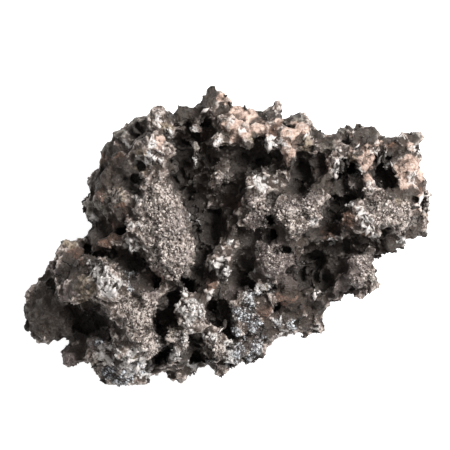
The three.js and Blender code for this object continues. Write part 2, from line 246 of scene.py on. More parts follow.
# The boss at the right of the face and the shoulder under it.
RIGHT_FACE = [
    (33.2, 4, 26, 3.8), (35, 3.5, 28, 2.9), (32.7, 7, 27, 2.2), (30.5, 7.7, 26, 1),
    (30, 3.1, 24, 2.7), (29.4, 0.8, 21, 1.6), (36.2, 1, 25, 2.1), (36.3, -0.7, 23, 1.6),
    (30, 12, 18, 3), (32.8, 13.2, 20, 3), (33.6, 10.2, 20, 2.4), (21.2, 0.2, 22, 2.8, 1.9, 2.4),
    (26.2, 0.2, 20, 3.2, 1.8, 2.4), (28.2, 0, 22, 1), (30.7, 1, 24, 1),
    (26.7, -1.5, 19, 1.6, 0.9, 1.2), (40, 0.7, 18, 3, 1.8, 2.6), (40.7, -2, 15, 2.6),
    (38.7, -3.3, 14, 2.1), (43, -2, 14, 1.9), (34.2, -4.7, 20, 3.1), (32, -6.5, 21, 2.7),
    (35, -8.3, 20, 2.6), (32.5, -10.5, 20, 2.8), (35.4, -11.5, 17, 2.5), (37, -9.7, 13, 1.2),
    (37, -12.1, 12, 1.4), (33.2, -13.6, 15, 2), (29.3, -11.7, 17, 2.5),
    (27.5, -12, 18, 1.2, 3.4, 1.8, -5), (27.5, -14.8, 13, 2.2), (22.7, -13.7, 18, 1.3),
    (24.3, -15.7, 14, 2.8), (30.2, -13.8, 13, 1.7),
]

# The slope at the lower right, which glitters with small pale crystals.
GLITTER = [
    (6.2, -14.7, 18, 3.1), (1.9, -16.6, 18, 1.8), (5, -18.5, 17, 3.1), (9.2, -18.5, 17, 2.8),
    (3.7, -22.2, 16, 3), (7.5, -22.2, 15, 3), (5, -26.5, 12, 3), (2.5, -28.2, 13, 2.8),
    (8.2, -26.9, 11, 2.8), (6, -29.8, 9, 2.2), (8.2, -29.2, 9, 1.9), (2.4, -31, 9, 1.9),
    (11.7, -23.2, 12, 2.8), (13.7, -20.3, 14, 3), (16.2, -16, 17, 3.1), (15, -12.2, 18, 3.1),
    (18.5, -18.1, 13, 2.9), (18.7, -21.8, 10, 2.5), (22, -22.8, 8, 2.3), (22.5, -20.2, 11, 2.4),
    (16.2, -21.8, 10, 2.3), (23.2, -17.7, 12, 2.2), (10, -25.6, 10, 2.3), (20.5, -14, 16, 2.6),
    (20.6, -23.2, 8, 2),
]

# %% [markdown]
# The middles are as they look to an eye far above the specimen. Things that lie high look
# further out than they are, so they are drawn in by their height.

# %% From what the eye sees to the frame
EYE = 920.0
PLAN_AWAY = 887.3


def spread(z):
    return (EYE - z) / PLAN_AWAY


# %% [markdown]
# One lobe is a ball with a few dents, modelled once by hand. The dents keep the heap from
# looking like a bunch of grapes.

# %% One lobe
LOBE_DENTS = 0.05
DENT_SEED = 7

bpy.ops.object.select_all(action="DESELECT")
bpy.ops.mesh.primitive_ico_sphere_add(subdivisions=3, radius=1)
lobe = bpy.context.active_object
bpy.ops.object.mode_set(mode="EDIT")
bpy.ops.transform.vertex_random(offset=LOBE_DENTS, uniform=0.5, normal=0.5, seed=DENT_SEED)
bpy.ops.object.mode_set(mode="OBJECT")
lobe_form = spots_of(lobe.data) * MM
lobe_faces = corners_of(lobe.data)
bpy.data.objects.remove(lobe)
print("a lobe has", len(lobe_faces), "faces")

# %% [markdown]
# The heap is copies of that lobe, each rolled any way, stretched, turned and put in its
# place. They are joined in one mesh straight away, since no lobe is ever used alone.

# %% The heap
DRAW_SEED = 41

rng = np.random.default_rng(DRAW_SEED)


def rolled(spots):
    axis = rng.normal(size=4)
    a, b, c, d = axis / np.linalg.norm(axis)
    turn = np.array([
        [a*a + b*b - c*c - d*d, 2 * (b*c - a*d), 2 * (b*d + a*c)],
        [2 * (b*c + a*d), a*a - b*b + c*c - d*d, 2 * (c*d - a*b)],
        [2 * (b*d - a*c), 2 * (c*d + a*b), a*a - b*b - c*c + d*d],
    ])
    return spots @ turn.T


def lobe_at(x, y, z, rx, ry=None, rz=None, turn=0):
    ry = rx if ry is None else ry
    rz = ry if rz is None else rz
    spots = rolled(lobe_form) * (rx, ry, rz)
    c, s = math.cos(math.radians(turn)), math.sin(math.radians(turn))
    spots = spots @ np.array([[c, s, 0], [-s, c, 0], [0, 0, 1]])
    return spots + (x * spread(z), y * spread(z), z)


rows = (UPPER_LEFT + LEFT_RIDGE + LOWER_LEFT + LOWER_RIDGE + STALKS + MIDDLE + FACE + RIM
        + RIGHT_END + RIGHT_FACE + GLITTER)
heap_spots = np.concatenate([lobe_at(*row) for row in rows]) * MM
heap_faces = np.concatenate([lobe_faces + i * len(lobe_form) for i in range(len(rows))])
heap_mesh = bpy.data.meshes.new("heap")
heap_mesh.from_pydata(heap_spots.tolist(), [], heap_faces.tolist())
heap = as_object("heap", heap_mesh)
print("the heap has", len(rows), "lobes")

# %% [markdown]
# ## The body
# A copy of the plain solid is welded, softened and joined with the heap. A voxel remesh
# then wraps both in one even skin and drops everything inside, which a boolean would leave
# as slivers between hundreds of lobes.

# %% Wrap the solid and the heap
CORE_CELL = 0.7 * MM
CORE_SOFTENING = 12
SKIN_CELL = 0.42 * MM
SKIN_SOFTENING = 2


def wrapped(cell, softening):
    shaped(crust, "REMESH", mode="VOXEL", voxel_size=cell)
    shaped(crust, "SMOOTH", factor=0.5, iterations=softening)


pick(specimen)
bpy.ops.object.duplicate()
crust = bpy.context.active_object
crust.name = "crust"
crust.data.name = "crust"
for key in [key for key in crust.keys() if key.startswith("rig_")]:
    del crust[key]
crust.parent = None
bpy.ops.object.mode_set(mode="EDIT")
bpy.ops.mesh.select_all(action="SELECT")
bpy.ops.mesh.remove_doubles(threshold=0.001 * MM)
bpy.ops.object.mode_set(mode="OBJECT")
wrapped(CORE_CELL, CORE_SOFTENING)
pick(crust)
heap.select_set(True)
bpy.ops.object.join()
wrapped(SKIN_CELL, SKIN_SOFTENING)
print("the wrapped skin has", len(crust.data.polygons), "faces")

# %% [markdown]
# ## Where each growth lies
# The crust isn't one thing all over. Pinkish clay fills the knobs along the top, pale coats
# cap some knobs, iron stains others, druse covers the broad lobes and a bluish-white
# glitter lies at the lower right. Each has its places, as discs (x, y, radius) seen from
# above, in millimetres, and lies over what is drawn before it in the colour recipe. Dark
# and pale are the longest lists, because they also hold spots of painted shade and painted
# light, set to match how the specimen looks from above, and a few rust and mauve spots are
# painted shade too. Not each of them is a stain or a coat.

# %% The places of each growth
PLACES = {
    "clay": [
        (0.9, 33, 1.1), (17, 23.2, 1.3), (0, 27.2, 1.2), (3.5, 30, 2.2), (6.3, 28.8, 1.6),
        (2, 24.6, 1.3), (8.2, 27, 2), (9, 25, 1.2), (12.9, 28.6, 1), (17.3, 26, 2.2),
        (19.3, 26, 1.5), (15, 24.3, 1.6), (4.6, 25.2, 1.7), (2, 27.5, 1.6), (31, 24.8, 0.6),
        (34.6, 21.8, 1.2), (35.8, 19.6, 1.3), (15.4, 18, 1.2), (49.6, 8, 1.8), (35.3, 18, 1.2),
        (34.8, 14, 1.5), (36.4, 12, 1.2), (30.5, 21.2, 0.6), (45.2, 16, 3.4), (46.8, 14.4, 1.8),
        (35.6, 21.6, 1.1), (34.4, 19, 1.8), (41.6, 16, 1.5), (48.5, 8, 1.9), (-0.8, 34.4, 0.9),
        (35, 17.4, 1.1), (44.8, 18.2, 1.2), (45.6, 22, 1), (44.6, 13.2, 1.8), (14.8, 21, 0.8),
        (49, 6.6, 1.3), (-16, 23.4, 1.1), (-15.8, 21, 0.9), (15.6, 20, 1.7), (38, 22.6, 0.7),
    ],
    "tan": [
        (-34, -12, 2.6), (-34, -16, 1.5), (-34.6, -18.6, 1), (-12.8, -23, 1.5), (-15, -22.4, 1),
        (43.2, 8.6, 1.6), (31, 18.8, 1.4), (33, 17.4, 1.1), (6.5, 24, 1), (19.8, 22.4, 1.7),
        (-22, -29.4, 1), (-20.4, 17, 1.6), (-20.4, 19.6, 1.8), (-27, 10, 2.4), (-38, -1.8, 1.5),
        (-14.4, 26.6, 1.4), (20, -5, 1), (10, -12.6, 1), (-30, -30, 1.2), (49.4, 7, 1.2),
    ],
    "pale": [
        (-17.6, 22.6, 1), (-9.8, -17.6, 1.6), (-0.6, -9.2, 1.5), (-6.6, 3.2, 1.1), (36.2, -0.6, 1),
        (13, 23.4, 1.2), (39.6, 16.8, 1.1), (-11, -24.4, 1.3), (-26.4, -26.8, 1.5), (-27, -12, 2),
        (-19.6, 18.6, 1.5), (10.4, -10.8, 1.1), (-14, 25, 1.1), (28.2, 17.2, 1.1),
        (-17.8, 19.4, 1.3), (-16.2, 28.8, 1.1), (-23, 2.6, 0.8), (-20.4, 2, 1), (-22.8, -1.8, 1.6),
        (-20.8, -3.2, 1), (-28.6, -11.8, 2.5), (-1, -7.2, 1.8), (4.6, -14.4, 1.1),
        (-9.4, -19.4, 1.3), (-27.4, -13.6, 1.5), (-29.6, -7.8, 1.3), (-32.2, -8, 1.5),
        (-1.9, 22.9, 1), (11, 23, 1.5), (14.6, 22.8, 0.9), (8.4, 13.3, 1.5), (9.4, 11.4, 1),
        (6.6, 15.8, 0.7), (27, 15.8, 1), (27.4, 18.2, 0.8), (34.6, 3.6, 1.7), (33, 6, 1.1),
        (30.4, 7.8, 0.9), (26.2, -1.7, 1), (28, -0.2, 0.8), (-7.8, -18, 2.3), (-3.2, -14, 1.2),
        (-10.2, -14.2, 1), (-11, -17.6, 1), (22.3, -13.9, 0.7), (49.4, 7.8, 1.8), (46.2, 14, 1.4),
        (12.6, 22.2, 1), (1.6, -31.6, 1.3), (-4.6, -24.4, 1.1), (14, -24.2, 1.1),
        (1.1, -26.8, 1.4), (43, -1.2, 1.1), (38.4, 19.4, 1.2), (-22.9, -31.8, 2.4),
        (-22.6, -33.4, 1.8), (1.6, -20.4, 1.3), (-8, -32, 1.3), (-21, -29.6, 1.5),
        (28.6, 18.4, 1.1), (43, 24.2, 0.9), (-7.4, 26.4, 0.9), (-7.2, 18.4, 1.1),
        (1.2, -29.6, 1.2), (-2.6, -24.6, 1.1), (-3.4, -7, 1.3), (1.3, -1.8, 0.5), (19, -7.6, 0.8),
        (-21, 18.4, 1.2), (-22.6, -29.6, 1.6), (7.5, -9, 0.8), (22.4, -22.8, 1), (21.8, 3.4, 1.1),
        (1.8, 28.4, 0.8), (4.4, 26, 0.8), (-22, -31.4, 3.1), (-29, -29, 2.2), (-19.6, -33.4, 1.6),
        (36, 20.6, 0.9), (36, 12.2, 1.4), (-7.9, 3.9, 1.2), (-15.4, -26.2, 1.2), (8.1, -13, 1.1),
        (-0.8, -7.4, 1.4), (-31.7, 4.3, 1.1), (6.9, -30.4, 1),
        (32.8, 16.8, 1), (-17, 18.6, 1.4), (-16.4, 19.8, 1.2), (-9.2, -18, 1.5), (-32, -10, 1.6),
        (-12, -28.8, 1.2), (47.2, 21.6, 1.1), (-24.4, -31.2, 1.6), (-8.6, -24, 1.2),
        (-9, -21, 1.4), (-19.6, -34.6, 1.1), (13.2, 13.6, 1.1), (-21, 9.4, 1.2), (-10, -25.6, 1.2),
        (13, -20.6, 1), (-24.4, 22.4, 1),
    ],
    "blue": [
        (7, -14, 1.7), (6, -16.4, 1.7), (4.6, -19.6, 2.1), (7, -22, 1.9), (2.2, -23.8, 1.3),
        (1.8, -31.2, 1.4), (6.4, -30, 1.1), (3.2, -28, 1.9), (8, -27, 1.7), (6, -18, 1.6),
        (4.6, -25.2, 0.9), (-21, -32.4, 1.7), (-24, -35, 1.8), (-26.6, -34.8, 1.4),
        (11.4, -12.6, 1.4), (16.4, -22.4, 1.3), (-31, -26, 1.4), (-23, -12.6, 1), (-23, -9, 1.5),
        (-33, -19.6, 1), (12.8, -21.6, 1.1), (-18.6, 21, 0.8), (-29, -33.4, 1.6), (9.4, -24.4, 1),
        (2.4, -18.6, 1.2),
    ],
    "rust": [
        (9.8, -18.4, 1.7), (18, -16, 3), (15, -15.2, 2), (34, 22.4, 1.2), (-5, 25.6, 1.5),
        (40.6, 12.6, 1.7), (40.6, 22, 1.6), (-36.4, -5, 2.6), (-28, 18.6, 3.2), (-17, -10, 2.1),
        (23, 17, 2.6), (-30, -2.5, 2), (2, 8.4, 1.9), (-5.4, -14.6, 1), (-3.6, -11.6, 1.5),
        (12, 26, 1.3), (-38, -9, 1.6), (-25.5, 6, 2), (-27.6, 1.6, 2.8), (33.6, -1.4, 1.7),
        (47, 10.6, 1.2), (29.8, 3.6, 2.2), (13.2, 27.4, 0.9), (-30, 11, 2.4), (21, -9.4, 1.8),
        (25, 0.6, 2),
    ],
    "olive": [
        (-32, 6, 2.8), (-22, 28, 2.2), (-26, 25, 1.5), (18, 29, 1.6), (25.4, 22.4, 2),
        (28.6, 25.6, 1.1), (36.6, -10.6, 1.5), (-10.8, 29.6, 2.2), (-4, 34.6, 1.6),
        (46.6, 24.2, 1.3), (-8, 22, 1.6), (8, 30.6, 1.1), (36.6, 25.2, 1.2), (-29, 21.6, 1.6),
    ],
    "mauve": [
        (11.6, -5.6, 5), (32, -7, 3.2), (16.6, -10.4, 2.2), (-31, -26, 2), (-38.4, -29.6, 2.2),
        (31.4, -11.4, 2.6), (29, -13, 2), (19.4, -8, 2.2), (21.6, 9, 1.8), (-38.4, -14, 1.6),
        (2, -13.6, 1.4), (8, 3, 2.6), (-12.4, 3.6, 3), (20.8, 7.6, 1.8), (7.2, 9, 1.4),
        (-10, -5, 2), (41.4, 6.8, 1.8), (16, 7.6, 2.4), (-17.4, -14, 1.4),
    ],
    "dark": [
        (44.2, 10.6, 1.5), (44, 20.4, 1.2), (41.8, 11, 1.5), (15.8, 10.8, 1.4), (11.4, 16.4, 1.3),
        (1.4, 0.4, 1.5), (18.8, 0.8, 1.3), (-6, -15, 1.4), (-26.6, -31.8, 1.4), (15.6, 28.6, 1.2),
        (-5.6, -0.4, 1.5), (-26.6, -31, 1.3), (5.9, -26.2, 1.1), (-3.8, 32.4, 1.5),
        (36.3, 23.4, 1.1), (41.6, -3.2, 1.5), (15.4, -11.2, 1.6), (1.5, -1.4, 0.9), (36, -4, 1.3),
        (-1.8, -29.2, 1.1), (10, -22.8, 1.4), (41.2, 18.8, 1), (39.8, 10.9, 1.3),
        (-33.8, 0.4, 1.5), (-9.9, -30.6, 1.5), (-29.6, 14.9, 1.8), (46.4, 0, 1.2), (-1.8, -3, 1.2),
        (20.2, -13.8, 1.4), (16.2, 10, 1.2), (-6.4, -1.4, 1.3), (31.8, 24.4, 1.2), (-5.6, -16, 1),
        (26.8, 11.4, 1.3), (-21.8, -11, 1.3), (31.6, -9.6, 1.1), (-32.8, -5.4, 1.5),
        (6.4, 22.4, 1.1), (-19.9, 23.3, 0.9), (32.6, 20.4, 1.1), (-0.6, 25.3, 0.9),
        (4.8, -2.6, 1.5), (2.5, -6, 1.1), (-6.5, -5.1, 1.3), (5.3, 10.7, 1.4), (11.4, 3.8, 1.4),
        (1.4, -12.6, 1.4), (45.9, 19.9, 0.9), (27.4, 24.7, 1.1), (41.6, -3.3, 1.5),
        (23.7, -20.7, 0.9), (20, -22.3, 1.2), (15.2, -11, 1.5), (22.3, -0.4, 1.4),
        (40.6, 10.4, 1.4), (-3.4, 32.6, 1.6), (-8.8, 28.8, 1.6), (11, 29.8, 1.1), (3, -3.8, 1.2),
        (31, -8.4, 1.5), (9.8, -22.8, 1.3), (-27.8, 20.8, 1.4), (-18.4, -23.6, 1.4),
        (-27.4, 9, 1.8), (-26, 5, 1.5), (-24.6, 16.4, 1.5), (36.4, 23.6, 1.2), (10, 4.6, 1.1),
        (-32.4, -1.6, 1.5), (29.6, -8, 1.3), (46.1, 8.8, 1.6), (31.2, 22.8, 1.1), (-3, -1.4, 1.5),
        (-1.4, -12.6, 1.2), (-35.6, -29, 1.5), (-10, -29.6, 1.2), (41, -3, 1.6),
        (14.8, -20.4, 1.5), (10.2, -24, 1.4), (18, -20.4, 1.3), (30.4, -8.6, 1.2),
        (10.8, 0.4, 1.4), (-20.7, 24.6, 1.4), (29.6, -13.2, 1.3), (27, -14, 1.2),
        (21.4, -17.4, 2.4), (31, -13.4, 1.4), (2.4, 17.6, 1.8), (-38.6, -8.4, 2.5),
        (24.5, -16.4, 1.2), (-45, -20, 5), (-8, 2, 1.6), (-11, 15, 3.2), (-26, 16.6, 2.6),
        (18.6, 12, 2.6), (15.8, -2, 1.4), (18.6, -11, 2.2), (8.4, -29.4, 1.2), (4, -30, 1.3),
        (-8.6, -33, 1.4), (-39, -24, 2.8), (-38.6, -6, 1.8), (-4.6, 32, 1.6), (15.6, 29.8, 1.4),
        (33, 25, 1.4), (42.6, 20.6, 1.1), (45.4, 10, 2), (-36.6, -12, 1.4), (29.4, -14, 1.4),
        (19.6, -21.8, 1.2), (-7.4, 12, 2.4), (-28, 13.5, 2.4), (24.5, 13.6, 2), (16.6, -1.8, 1.1),
        (20, -1.4, 1.8), (-8.6, -9.8, 2.5), (-6, -12.4, 1.5), (-8, 6, 2.4), (17.4, -10, 2),
        (-4.3, 34, 3), (14.4, 30.4, 1.4), (34.4, 23.8, 1.6), (4.8, -30.6, 1), (23.4, -15.8, 1.6),
        (-20.8, 26, 1.6), (-11, 12.5, 2.6), (-13.2, 17.4, 1.6), (-8.2, 8, 2.4), (-6.2, 2.6, 1.6),
        (21.4, 11, 2.4), (16, -12.4, 2.4), (19.6, -15.7, 1.8), (46, 9.6, 1.5), (-38, -24, 2),
        (25.7, -13, 1.6), (14.6, -3.4, 1.4), (20.8, 0.2, 1.4), (31, 9, 2), (-44, -19, 5.4),
        (-44, -12.6, 2.6), (-42, -22.6, 3.4), (-33, -21.4, 4.8), (-38, -21.5, 3), (-9.6, 17, 3.8),
        (-9.4, 11.6, 2.6), (-3, 19, 3), (6, 18.6, 4), (19, 15.6, 3.2), (38, 16.4, 2.8),
        (30.2, 12, 2.8), (27, 6.4, 2.6), (-2.4, 4, 3.6), (22.6, -6.4, 4.6), (26, -3.2, 2.6),
        (33, -2, 1.7), (39.8, -2.2, 2.4), (4, -9.6, 3.4), (-2.4, -18.4, 2.8), (-15, -18.6, 2.2),
        (-22.4, -6.2, 3.2), (-28, -5, 1.8), (-14, -28.6, 2.4), (-8, -30, 2.6), (-4.4, 28, 1.6),
        (-2.8, 33, 1.1), (-22.8, 13.6, 2.4), (-28.6, 15.6, 2), (-12, 30, 2.2),
        (-8.4, 31, 1.6), (-6, 32.6, 1.4), (8.4, 30.6, 1), (22.6, 25, 1.4), (18, 30, 1),
        (25.6, 23.4, 1.4), (39.6, 23.6, 1.4), (43.6, 23.6, 0.9), (36.2, 26, 1.2), (33, 24.4, 1.1),
        (35.8, 24.4, 1.1), (46.6, 24, 1), (47, 4, 1.6), (46.8, 1, 1.8), (24.6, -10, 3),
        (17, -18.6, 2.2), (22, -17, 2.6), (-29, -33.6, 1.4), (-34.6, -26.6, 1.6), (1.4, -22, 1.4),
        (6, -26.6, 1.1), (-31.6, 12.4, 1.6), (13.4, 0.6, 1.6), (-36, -8, 1.4), (8.6, -29.2, 1),
        (13.5, 25.4, 0.8), (-31, 1.6, 2.2),
    ],
    "druse": [
        (-15.4, 9.8, 3.5), (-14.4, 2.7, 4.6), (-13.8, -4.6, 5.6), (-18.6, 8, 2.4), (-18, 2, 2.6),
        (-20.2, -17.8, 3.6), (-20.4, -23, 4), (-18.4, -27.4, 2.4), (8.4, 7, 3.3), (13.7, 5.5, 2.1),
        (16.8, 5.4, 3.4), (21, 7.2, 2.8), (17.2, 2, 1.9), (8.5, 3.1, 2.1), (11.4, -5.4, 3),
        (36.8, 7.8, 2.3), (41, 5.2, 2.6), (44.6, 4, 2), (44.8, 6.6, 1.9), (38, 4, 2),
        (33.4, -6, 2), (35, -9, 1.5), (-12.6, -8.6, 2.8), (31.6, -11, 1.4), (-0.2, 14.2, 1.3),
        (-27, 10, 1.7), (-25, -16.6, 1.8), (35.2, 10.8, 1.8), (-7, -18.4, 2), (-10.4, -27, 2),
        (-9.6, -23.6, 1.6), (-2.6, -27, 2.4), (-13.4, -25, 1.6), (30.4, 12, 2), (-13, -23.4, 1.6),
    ],
}
print({name: len(discs) for name, discs in PLACES.items()})

# %% [markdown]
# No real stain ends in a circle. Each point is looked up a little way off from where it
# is, and noise says which way, so the edges of the discs wander. The share of a growth is
# full inside a disc and fades over its rim. Noise vectors start from the clock unless
# they get a seed, and then no two runs would agree.

# %% How much of a growth lies at each point
WANDER = 1.1
WANDER_SIZE = 3.0
FADE_FROM = 1.55
NOISE_SEED = 2

noise.seed_set(NOISE_SEED)


def wandering(spots):
    away = np.array([noise.noise_vector(Vector(spot) / WANDER_SIZE) for spot in spots])
    return spots[:, :2] / spread(spots[:, 2:]) + WANDER * away[:, :2]


def share_of(name, seats):
    share = np.zeros(len(seats))
    for x, y, radius in PLACES[name]:
        away = np.hypot(seats[:, 0] - x, seats[:, 1] - y)
        share = np.maximum(share, np.clip(FADE_FROM - away / radius, 0, 1))
    return share * share * (3 - 2 * share)


# %% [markdown]
# ## The hollows
# Between the lobes the crust stays open and deep. Each hollow is a bowl
# (x, y, rx, ry, floor, turn): its middle, its half sizes, the height of its floor and its
# turn.

# %% Where the hollows are
HOLLOWS = [
    (-10, 17, 2.8, 6, 12, 0), (-4, 19, 2.4, 2.4, 16, 0), (6.4, 18.8, 5, 3, 15, 0),
    (18.6, 13.8, 2.7, 5.4, 15, 0), (37.7, 14.9, 2.3, 2.9, 16.5, 0), (-8.1, 9, 2.3, 6.1, 13.5, 12),
    (-11.3, 13.4, 2.3, 3.8, 14, 0), (45.8, 8.9, 0.9, 2.2, 20, 8), (-20, 26.4, 1.3, 2.4, 21, 10),
    (-7.2, 0.9, 1.5, 3.1, 17, 10), (29.4, 12.6, 2, 3.3, 18, 0), (27, 6, 2.4, 2.6, 15, 0),
    (-3, 3.2, 3.1, 6.6, 12, 0), (21.6, -6.8, 4.0, 5.4, 11, 0), (27.2, -2.8, 7.2, 1.7, 15, 0),
    (3.6, -11.2, 2.4, 1.9, 15, 0), (-2.9, -18.4, 2.5, 4.2, 11.5, 0), (-16, -20.8, 2.2, 4, 13, -20),
    (-34, -21.4, 6.2, 3, 8, 0), (-22.6, -6.4, 4.8, 1.7, 17, 0), (-15.4, -29, 3.2, 1.2, 6, 35),
    (-7.2, -29.7, 2.1, 2.5, 7, 0), (-4.5, 28, 1.4, 1.7, 17, 0), (-22.8, 13.6, 3.2, 1.3, 22.5, 0),
    (-28, -5, 2.8, 1.2, 17.5, 0), (24.6, -10.4, 2.2, 2.4, 13, 0), (13.6, -3.9, 3.4, 0.8, 21.5, -8),
    (-9.6, -11.6, 1.7, 2.6, 14, 30), (10.8, 0.2, 1.7, 1.2, 21, 0), (11.4, 3.6, 1.2, 1.9, 23, 20),
    (4.1, 13, 1.7, 2.6, 16, 0),
]

# %% [markdown]
# Cutting the bowls out with booleans would leave them smooth as eggs. Instead, whatever
# stands over a bowl is pushed down to it, with small lumps on the floor and a wandering
# rim, and the skin is wrapped again to even out the stretched walls.

# %% Sink the hollows
RIM_OF_BOWLS = 38.0
FLOOR_LUMPS = 2.4
FLOOR_LUMP_SIZE = 1.9
HOLLOW_SOFTENING = 3


def bowl_over(seats, lumps, x, y, rx, ry, floor, turn):
    c, s = math.cos(math.radians(turn)), math.sin(math.radians(turn))
    dx, dy = seats[:, 0] - x, seats[:, 1] - y
    out = ((c * dx + s * dy) / rx) ** 2 + ((c * dy - s * dx) / ry) ** 2
    inside = 1 - out ** 2
    depth = (RIM_OF_BOWLS - floor - lumps) * np.sqrt(np.maximum(inside, 0))
    return np.where(inside > 0, RIM_OF_BOWLS - depth, np.inf)


spots = spots_of(crust.data)
seats = wandering(spots)
lumps = np.array([noise.noise(Vector(spot) / FLOOR_LUMP_SIZE) for spot in spots])
for bowl in HOLLOWS:
    spots[:, 2] = np.minimum(spots[:, 2], bowl_over(seats, FLOOR_LUMPS * lumps, *bowl))
put_spots(crust.data, spots)
wrapped(SKIN_CELL, HOLLOW_SOFTENING)
print("sank", len(HOLLOWS), "hollows, and the skin has", len(crust.data.polygons), "faces")

# %% [markdown]
# Sinking the hollows can cut a knob off from the body. Nothing on the real crust floats, so
# only the largest part is kept.

# %% Drop what came loose
pick(crust)
bpy.ops.object.mode_set(mode="EDIT")
bpy.ops.mesh.select_all(action="SELECT")
bpy.ops.mesh.separate(type="LOOSE")
bpy.ops.object.mode_set(mode="OBJECT")
crumbs = sorted(bpy.context.selected_objects, key=lambda piece: len(piece.data.polygons))
crust = crumbs.pop()
crust.name = "crust"
print("dropped", len(crumbs), "crumbs")
for crumb in crumbs:
    bpy.data.objects.remove(crumb)

# %% [markdown]
# ## Uneven growth
# Each finish grows in its own way: the druse, the clay and the olive film stay rounder
# under their cover, and the rest breaks into angular knobs. A vertex group says how much
# the patterns of the next step move each point. Twenty steps of weight are fine enough.

# %% Groups that say where the knobs grow
WEIGHT_STEPS = 20
ROUNDING = {"druse": 0.6, "clay": 0.55, "olive": 0.4}


def grouped(name, share):
    group = crust.vertex_groups.new(name=name)
    steps = np.round(share * WEIGHT_STEPS).astype(int)
    for step in range(1, WEIGHT_STEPS + 1):
        group.add(np.flatnonzero(steps == step).tolist(), step / WEIGHT_STEPS, "REPLACE")


seats = wandering(spots_of(crust.data))
rounder = sum(much * share_of(name, seats) for name, much in ROUNDING.items())
angular = np.clip(1 - rounder, 0, 1)
grouped("angular", angular)
grouped("all", np.ones(len(seats)))
print("the skin is", round(100 * float(angular.mean())), "% angular")

# %% [markdown]
# Crystals don't grow in neat balls. Clouds of noise push the skin sideways, so that the
# lobes lose their roundness. Cells push it in and out: blocks have sharp creases round
# them, and knobs are pointed. Displace modifiers do it, from the largest pattern to the
# smallest, since each works on what the last one left.

# %% Three ways to push the skin
def pattern(kind, size, **settings):
    made = bpy.data.textures.new("growth", kind)
    made.noise_scale = size * MM
    for name, value in settings.items():
        setattr(made, name, value)
    return made


def warped(size, reach):
    middle = spots_of(crust.data).mean(axis=0)
    swirl = pattern("CLOUDS", size, cloud_type="COLOR", noise_depth=1)
    shaped(crust, "DISPLACE", texture=swirl, texture_coords="LOCAL",
           direction="RGB_TO_XYZ", strength=reach * MM, mid_level=0.5)
    drifted = spots_of(crust.data)
    put_spots(crust.data, drifted + middle - drifted.mean(axis=0))


def pushed_by(cells, rise, unmoved, where):
    shaped(crust, "DISPLACE", texture=cells, texture_coords="LOCAL", vertex_group=where,
           direction="NORMAL", strength=rise * MM, mid_level=unmoved)


def blocked(size, rise, where):
    pushed_by(pattern("VORONOI", size, weight_1=-1.0, weight_2=1.0), rise, 0.3, where)


def knobbed(size, rise, where):
    pushed_by(pattern("VORONOI", size), -rise, 0.5, where)


# %% [markdown]
# The sizes are those of the real knobs, from half a centimetre down to a millimetre.

# %% Push the skin about
warped(5, 2.8)
warped(2.2, 1.0)
blocked(3.6, 1.7, "angular")
knobbed(2.2, 0.8, "angular")
blocked(1.5, 1.0, "all")
knobbed(0.9, 0.4, "all")
crust.vertex_groups.clear()
print("grown to", [round(side / MM, 1) for side in crust.dimensions], "mm")

# %% [markdown]
# The back stays flat, where the specimen was broken off. Tips that have grown out of the
# size of the plain solid are pressed back towards it. Decimating keeps the creases and
# spends fewer faces on what is smooth, but can pull a point below the back, so the back is
# made flat once more.

# %% Flatten the back and thin the skin
PRESSED = 0.75
FACES_KEPT = 190_000

spots = spots_of(crust.data)
spots += PRESSED * (np.clip(spots, cad_low / MM, cad_high / MM) - spots)
put_spots(crust.data, not_below(spots, 0))
shaped(crust, "TRIANGULATE")
shaped(crust, "DECIMATE", ratio=FACES_KEPT / len(crust.data.polygons))
put_spots(crust.data, not_below(spots_of(crust.data), 0))
pick(crust)
bpy.ops.object.shade_smooth()
print("the body has", len(crust.data.polygons), "triangles and measures",
      [round(side / MM, 1) for side in crust.dimensions], "mm")

# %% [markdown]
# ## What each point of the skin has on it
# Painted shade darkens the hollows, where little light gets in, over dirt and dark mineral
# that gather there. How open each point is gets measured with a few rays: the share of them
# that leave without hitting the crust.

# %% How open each point is
RAYS = 14
REACH = 9 * MM
RAY_START = 0.15
OUTWARDS = 1.05

body_spots = spots_of(crust.data)
body_facing = facing_of(crust.data)
body_tree = BVHTree.FromObject(crust, bpy.context.evaluated_depsgraph_get())


def openness():
    around = rng.normal(size=(RAYS, 3))
    around /= lengths(around)
    free = np.zeros(len(body_spots))
    starts = ((body_spots + RAY_START * body_facing) * MM).tolist()
    for way in around:
        ways = way + OUTWARDS * body_facing
        ways = (ways / lengths(ways)).tolist()
        hits = [body_tree.ray_cast(start, to, REACH)[0] for start, to in zip(starts, ways)]
        free += [hit is None for hit in hits]
    return free / RAYS


marks = {"open": openness()}
print("on average", round(100 * float(marks["open"].mean())), "% of the sky is seen")

# %% [markdown]
# Pale coats and bare crystals show on what stands out, and dark gaps between. The same
# measures place painted highlights on edges and painted shade in gaps and creases. How far a
# point stands out is measured from a smoothed copy of the skin, once over whole knobs and
# once over small edges.

# %% How far each point stands out
STANDING = {"tip": (40, 0.45), "edge": (8, 0.16)}


def standing_out(rounds, height):
    pick(crust)
    bpy.ops.object.duplicate()
    smooth = bpy.context.active_object
    shaped(smooth, "SMOOTH", factor=0.5, iterations=rounds)
    out = ((body_spots - spots_of(smooth.data)) * body_facing).sum(axis=1)
    bpy.data.objects.remove(smooth)
    return 0.5 + 0.5 * np.tanh(out / height)


for name, (rounds, height) in STANDING.items():
    marks[name] = standing_out(rounds, height)
print("standing out:", {name: round(float(marks[name].mean()), 2) for name in STANDING})

# %% [markdown]
# The growths lie on the face and thin out towards the back, clay first. All these shares
# are written on the mesh, where the finishes can read them.

# %% Write the growths on the mesh
LOWEST = 3.0
LOWEST_CLAY = 10.0
THINNING = 5.0
RAGGED = 2.0


def noted(mesh, name, values):
    layer = mesh.attributes.new(name, "FLOAT", "POINT")
    layer.data.foreach_set("value", np.asarray(values, np.float32))


